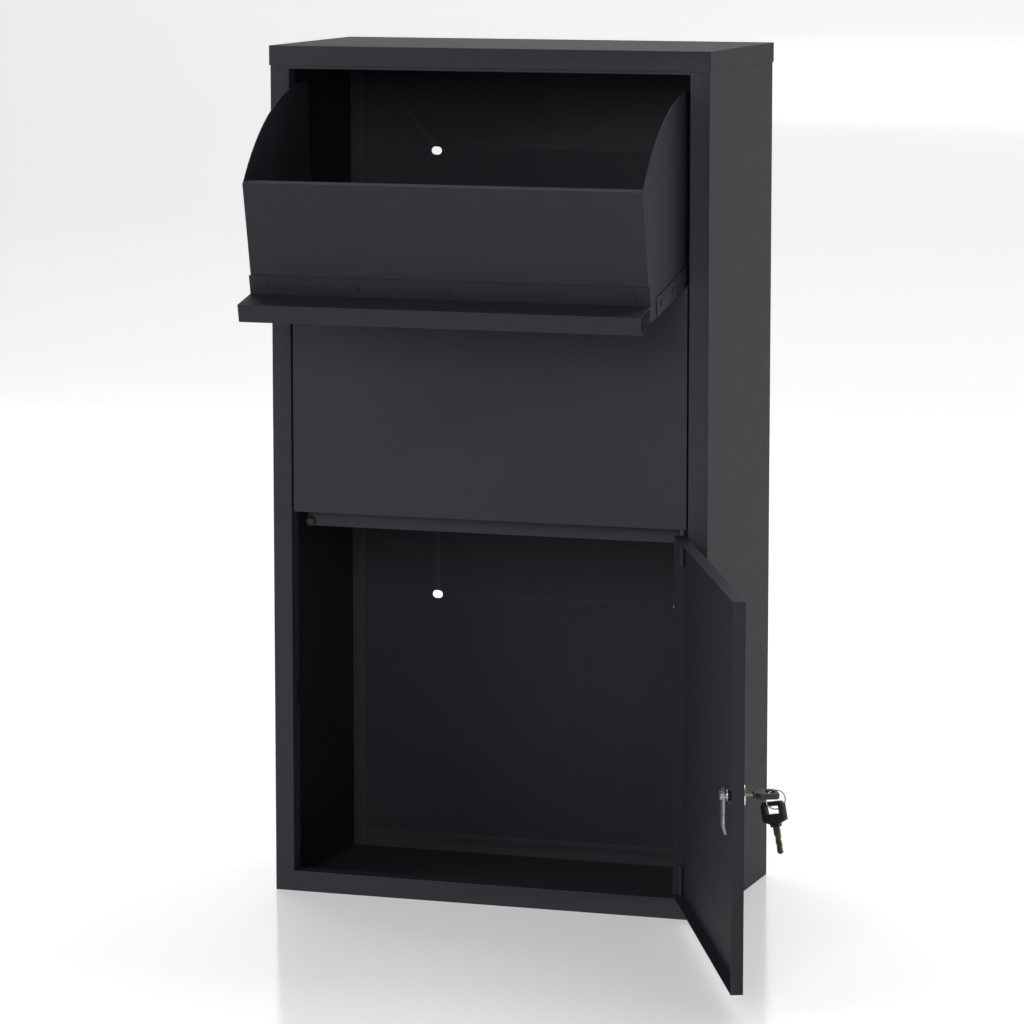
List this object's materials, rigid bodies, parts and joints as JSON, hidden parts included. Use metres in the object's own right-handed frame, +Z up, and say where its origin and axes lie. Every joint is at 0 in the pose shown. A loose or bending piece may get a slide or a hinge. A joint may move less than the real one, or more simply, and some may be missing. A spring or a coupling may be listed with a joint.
{
  "type": "parcel drop box",
  "caption": "Tall sheet steel parcel drop box with a tilting drop hopper above a fixed panel and a lockable side-hinged collection door.",
  "frame": {"origin": "centre of the cabinet's base, on the floor", "axes": "+X to the right as seen from the front, +Y to the rear, +Z up"},
  "size_m": [0.6058, 0.5748, 0.825],
  "materials": {
    "powder_coat": "fine-textured satin anthracite powder coat",
    "zinc_steel": "bright zinc-plated steel",
    "chrome_lock": "chrome-plated die casting",
    "rubber": "matt black rubber",
    "nylon": "black nylon",
    "key_plastic": "moulded black plastic with a fine grain",
    "key_metal": "worn nickel-plated brass",
    "ring_steel": "plain steel wire"
  },
  "bodies": {
    "cabinet": {"left_side_panel": "powder_coat", "right_side_panel": "powder_coat", "back_panel": "powder_coat", "lid": "powder_coat", "base_tray": "powder_coat", "top_rail": "powder_coat", "middle_panel": "powder_coat", "pivot_bracket_left": "powder_coat", "pivot_bracket_right": "powder_coat", "pivot_pins": "zinc_steel", "pivot_nuts": "zinc_steel", "stop_studs": "zinc_steel", "stop_sleeves": "rubber", "door_hinge_pins": "zinc_steel", "door_hinge_washers": "nylon", "door_bumper": "rubber", "base_rivets": "powder_coat"},
    "hopper": {"hopper_tray": "powder_coat", "hopper_side_left": "powder_coat", "hopper_side_right": "powder_coat", "grip_rail": "powder_coat", "grip_rail_rivets": "powder_coat", "hopper_side_rivets": "powder_coat", "pivot_bushes": "nylon"},
    "door": {"door_panel": "powder_coat", "door_hinge_barrel_upper": "powder_coat", "door_hinge_barrel_lower": "powder_coat", "lock_housing": "chrome_lock", "lock_nut": "chrome_lock"},
    "lock_core": {"lock_plug": "chrome_lock", "lock_cam": "zinc_steel", "cam_screw": "zinc_steel", "key_blade": "key_metal", "key_bow": "key_plastic"},
    "ring": {"key_ring": "ring_steel"},
    "spare_key": {"spare_key_blade": "key_metal", "spare_key_bow": "key_plastic"}
  },
  "joints": [
    {"name": "hopper_hinge", "type": "hinge", "parent": "cabinet", "child": "hopper", "pos_m": [0, -0.088, 0.62992], "axis": [1, 0, 0], "range_deg": [-102.5, 0]},
    {"name": "door_hinge", "type": "hinge", "parent": "cabinet", "child": "door", "pos_m": [0.1935, -0.105, 0.1955], "axis": [0, 0, 1], "range_deg": [-114, 4]},
    {"name": "lock_turn", "type": "hinge", "parent": "door", "child": "lock_core", "pos_m": [0.34577, -0.43839, 0.195], "axis": [-0.9135, -0.4067, 0], "range_deg": [0, 90]},
    {"name": "ring_slip", "type": "hinge", "parent": "lock_core", "child": "ring", "pos_m": [0.37418, -0.42574, 0.1901], "axis": [-0.4067, 0.9135, 0], "range_deg": [-8, 8]},
    {"name": "spare_slide", "type": "hinge", "parent": "ring", "child": "spare_key", "pos_m": [0.37418, -0.42574, 0.1901], "axis": [-0.4067, 0.9135, 0], "range_deg": [-6, 6]}
  ]
}
